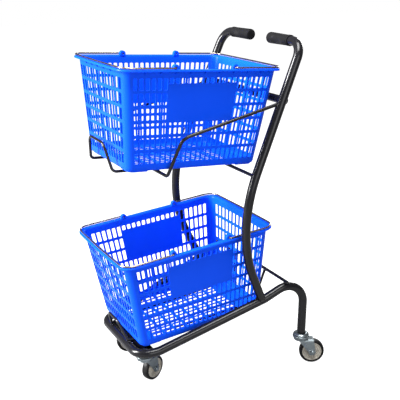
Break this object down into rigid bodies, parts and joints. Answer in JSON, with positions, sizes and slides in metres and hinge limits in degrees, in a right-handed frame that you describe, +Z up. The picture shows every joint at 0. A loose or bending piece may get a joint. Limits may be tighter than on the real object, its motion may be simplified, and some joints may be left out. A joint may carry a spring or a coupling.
{
  "type": "shopping basket trolley",
  "caption": "Push trolley of bent black tube with rubber grips and swivel castors, carrying lift-off blue plastic hand baskets with folding wire handles on tiered wire cradles.",
  "frame": {"origin": "on the floor, at the middle of the trolley's bounding box", "axes": "+Z up; the nose points along -Y and the push handles are at +Y; the user's left is +X"},
  "size_m": [0.4808, 0.632, 0.9728],
  "materials": {
    "frame_paint": "gloss black powder coat",
    "grip_rubber": "matt black",
    "zinc": "bright zinc plate",
    "castor_tyre": "satin black rubber",
    "castor_hub": "satin grey-beige",
    "basket_plastic": "satin royal blue",
    "bail_wire": "bright plated wire"
  },
  "bodies": {
    "frame": {"base_tube": "frame_paint", "upright_left": "frame_paint", "upright_right": "frame_paint", "grip_left": "grip_rubber", "grip_right": "grip_rubber", "back_bar": "frame_paint", "shelf_cross_bar": "frame_paint", "rear_cross_bar": "frame_paint", "upper_side_hoop": "frame_paint", "upper_cradle_wire": "frame_paint", "lower_cradle_wire": "frame_paint", "castor_plate": "frame_paint", "plate_bolt_left": "zinc", "plate_bolt_right": "zinc", "stem_nut_left": "zinc", "stem_nut_right": "zinc", "castor_front_left_cap": "zinc", "castor_front_right_cap": "zinc", "castor_rear_left_cap": "zinc", "castor_rear_right_cap": "zinc"},
    "swivel_front_left": {"castor_front_left_race": "zinc", "castor_front_left_fork": "zinc", "castor_front_left_axle_bolt": "zinc", "castor_front_left_axle_nut": "zinc"},
    "wheel_front_left": {"castor_front_left_hub": "castor_hub", "castor_front_left_tyre": "castor_tyre"},
    "swivel_front_right": {"castor_front_right_race": "zinc", "castor_front_right_fork": "zinc", "castor_front_right_axle_bolt": "zinc", "castor_front_right_axle_nut": "zinc"},
    "wheel_front_right": {"castor_front_right_hub": "castor_hub", "castor_front_right_tyre": "castor_tyre"},
    "swivel_rear_left": {"castor_rear_left_race": "zinc", "castor_rear_left_fork": "zinc", "castor_rear_left_axle_bolt": "zinc", "castor_rear_left_axle_nut": "zinc"},
    "wheel_rear_left": {"castor_rear_left_hub": "castor_hub", "castor_rear_left_tyre": "castor_tyre"},
    "swivel_rear_right": {"castor_rear_right_race": "zinc", "castor_rear_right_fork": "zinc", "castor_rear_right_axle_bolt": "zinc", "castor_rear_right_axle_nut": "zinc"},
    "wheel_rear_right": {"castor_rear_right_hub": "castor_hub", "castor_rear_right_tyre": "castor_tyre"},
    "upper_basket_body": {"upper_basket": "basket_plastic"},
    "upper_front_bail": {"upper_bail_front": "bail_wire"},
    "upper_rear_bail": {"upper_bail_rear": "bail_wire"},
    "lower_basket_body": {"lower_basket": "basket_plastic"},
    "lower_front_bail": {"lower_bail_front": "bail_wire"},
    "lower_rear_bail": {"lower_bail_rear": "bail_wire"}
  },
  "joints": [
    {"name": "castor_front_left_swivel", "type": "hinge", "parent": "frame", "child": "swivel_front_left", "pos_m": [0.0995, -0.219, 0.085], "axis": [0, 0, 1], "continuous": true},
    {"name": "castor_front_left_roll", "type": "hinge", "parent": "swivel_front_left", "child": "wheel_front_left", "pos_m": [0.08567, -0.18794, 0.0373], "axis": [0.9135, 0.4067, 0], "continuous": true},
    {"name": "castor_front_right_swivel", "type": "hinge", "parent": "frame", "child": "swivel_front_right", "pos_m": [-0.0995, -0.219, 0.085], "axis": [0, 0, 1], "continuous": true},
    {"name": "castor_front_right_roll", "type": "hinge", "parent": "swivel_front_right", "child": "wheel_front_right", "pos_m": [-0.09595, -0.18519, 0.0373], "axis": [0.9945, -0.1045, 0], "continuous": true},
    {"name": "castor_rear_left_swivel", "type": "hinge", "parent": "frame", "child": "swivel_rear_left", "pos_m": [0.2, 0.2517, 0.085], "axis": [0, 0, 1], "continuous": true},
    {"name": "castor_rear_left_roll", "type": "hinge", "parent": "swivel_rear_left", "child": "wheel_rear_left", "pos_m": [0.21544, 0.28199, 0.0373], "axis": [0.891, -0.454, 0], "continuous": true},
    {"name": "castor_rear_right_swivel", "type": "hinge", "parent": "frame", "child": "swivel_rear_right", "pos_m": [-0.2, 0.2517, 0.085], "axis": [0, 0, 1], "continuous": true},
    {"name": "castor_rear_right_roll", "type": "hinge", "parent": "swivel_rear_right", "child": "wheel_rear_right", "pos_m": [-0.21544, 0.28199, 0.0373], "axis": [0.891, 0.454, 0], "continuous": true},
    {"name": "upper_basket_lift", "type": "slide", "parent": "frame", "child": "upper_basket_body", "axis": [0, 0, 1], "range_m": [0, 0.25]},
    {"name": "upper_bail_front_fold", "type": "hinge", "parent": "upper_basket_body", "child": "upper_front_bail", "pos_m": [0, -0.15512, 0.90851], "axis": [-1, 0, 0], "range_deg": [0, 118]},
    {"name": "upper_bail_rear_fold", "type": "hinge", "parent": "upper_basket_body", "child": "upper_rear_bail", "pos_m": [0, 0.01662, 0.89906], "axis": [1, 0, 0], "range_deg": [0, 118]},
    {"name": "lower_basket_lift", "type": "slide", "parent": "frame", "child": "lower_basket_body", "axis": [0, 0, 1], "range_m": [0, 0.055]},
    {"name": "lower_bail_front_fold", "type": "hinge", "parent": "lower_basket_body", "child": "lower_front_bail", "pos_m": [0, -0.16218, 0.41467], "axis": [-1, 0, 0], "range_deg": [0, 118]},
    {"name": "lower_bail_rear_fold", "type": "hinge", "parent": "lower_basket_body", "child": "lower_rear_bail", "pos_m": [0, 0.00896, 0.43182], "axis": [1, 0, 0], "range_deg": [0, 118]}
  ]
}
